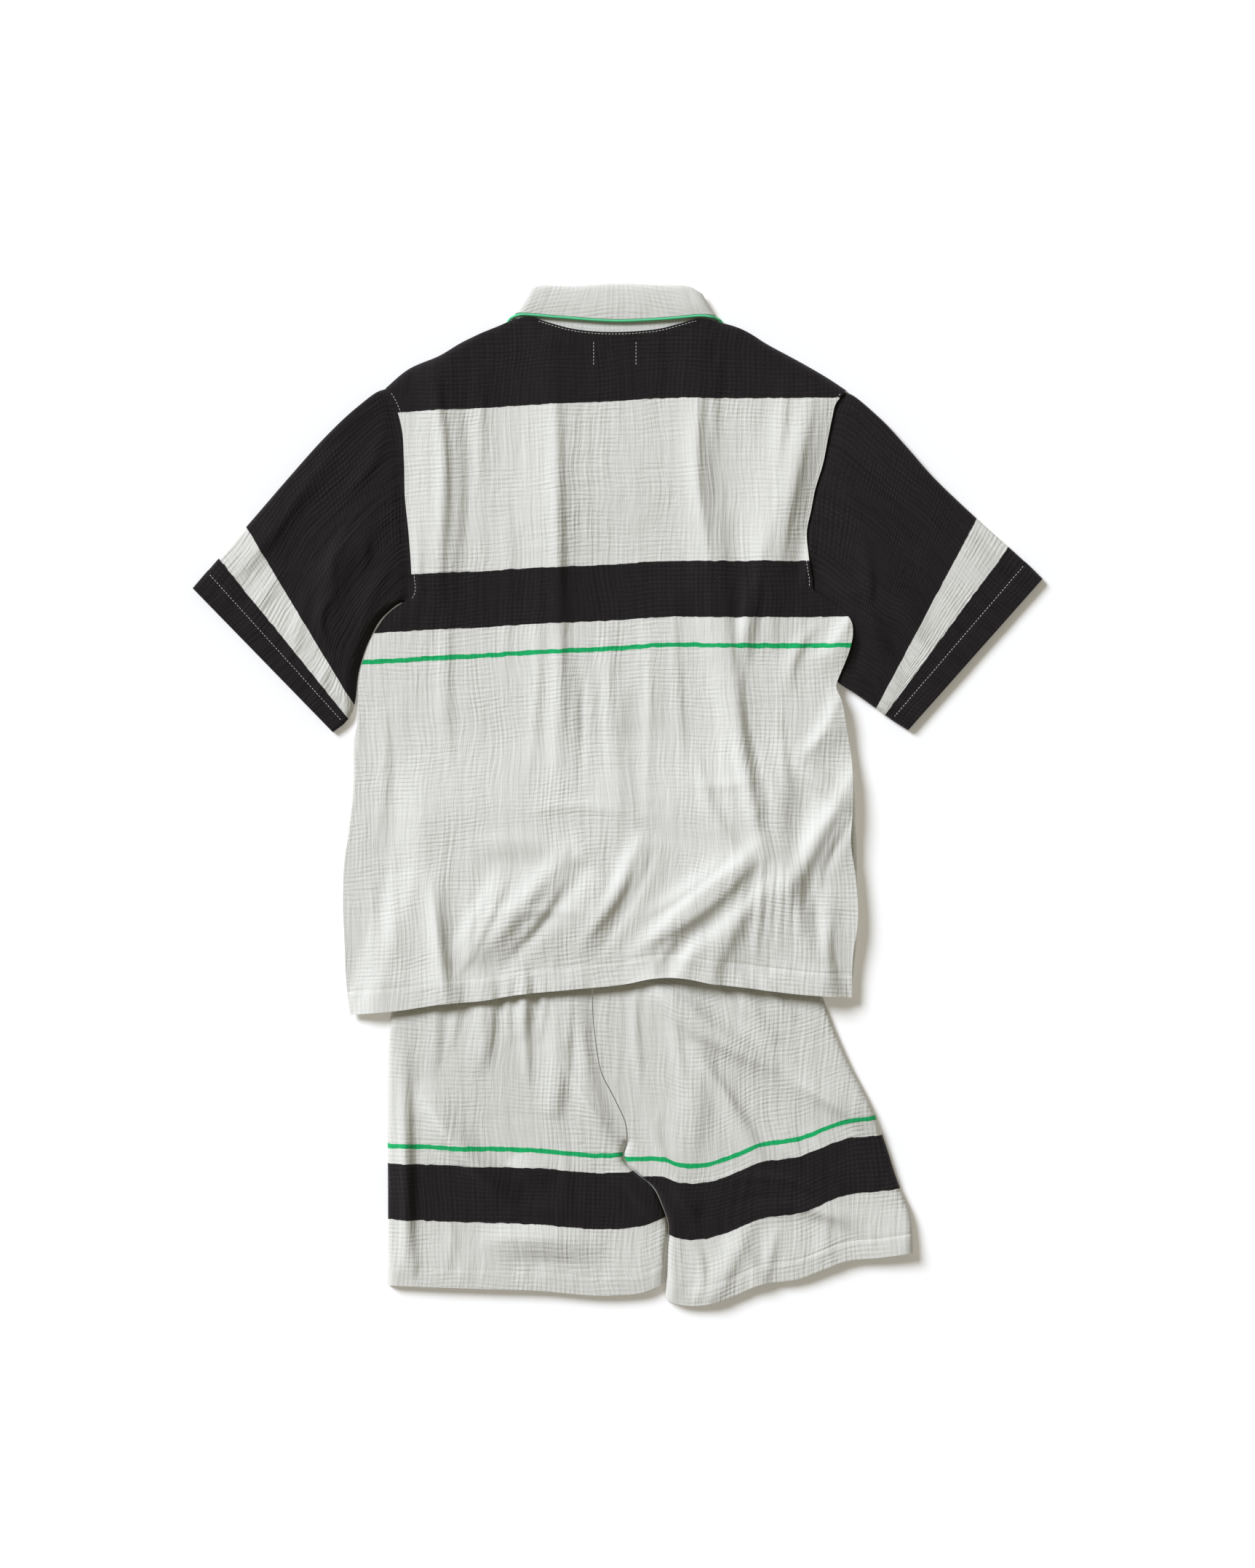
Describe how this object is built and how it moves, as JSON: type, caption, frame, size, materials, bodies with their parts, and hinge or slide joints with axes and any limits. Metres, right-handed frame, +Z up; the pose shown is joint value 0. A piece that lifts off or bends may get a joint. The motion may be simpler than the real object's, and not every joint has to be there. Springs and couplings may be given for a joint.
{
  "type": "pyjama set",
  "caption": "Short-sleeved pyjama shirt with a piped collar, laid back up and flat over its shorts, in crinkled cotton double gauze.",
  "frame": {"origin": "on the surface that the set lies on, below the middle of its outline seen from above", "axes": "+Z up from the surface, +Y towards the collar, +X to the viewer's right with the collar away from the viewer"},
  "size_m": [0.9042, 1.0864, 0.0276],
  "materials": {
    "gauze_off_white": "matt crinkled double gauze, off-white",
    "gauze_black": "matt crinkled double gauze, black",
    "piping_green": "cord covered in plain green cotton",
    "button_shell": "satin, off-white"
  },
  "bodies": {
    "root": {"shirt_back": "gauze_off_white", "shirt_front_left": "gauze_off_white", "shirt_front_right": "gauze_off_white", "sleeve_left": "gauze_black", "sleeve_right": "gauze_black", "collar": "gauze_off_white", "collar_piping": "piping_green", "shorts_left_back": "gauze_off_white", "shorts_left_front": "gauze_off_white", "shorts_right_back": "gauze_off_white", "shorts_right_front": "gauze_off_white", "shorts_waistband": "gauze_off_white", "button_1": "button_shell", "button_2": "button_shell", "button_3": "button_shell", "button_4": "button_shell", "button_5": "button_shell"}
  },
  "joints": []
}
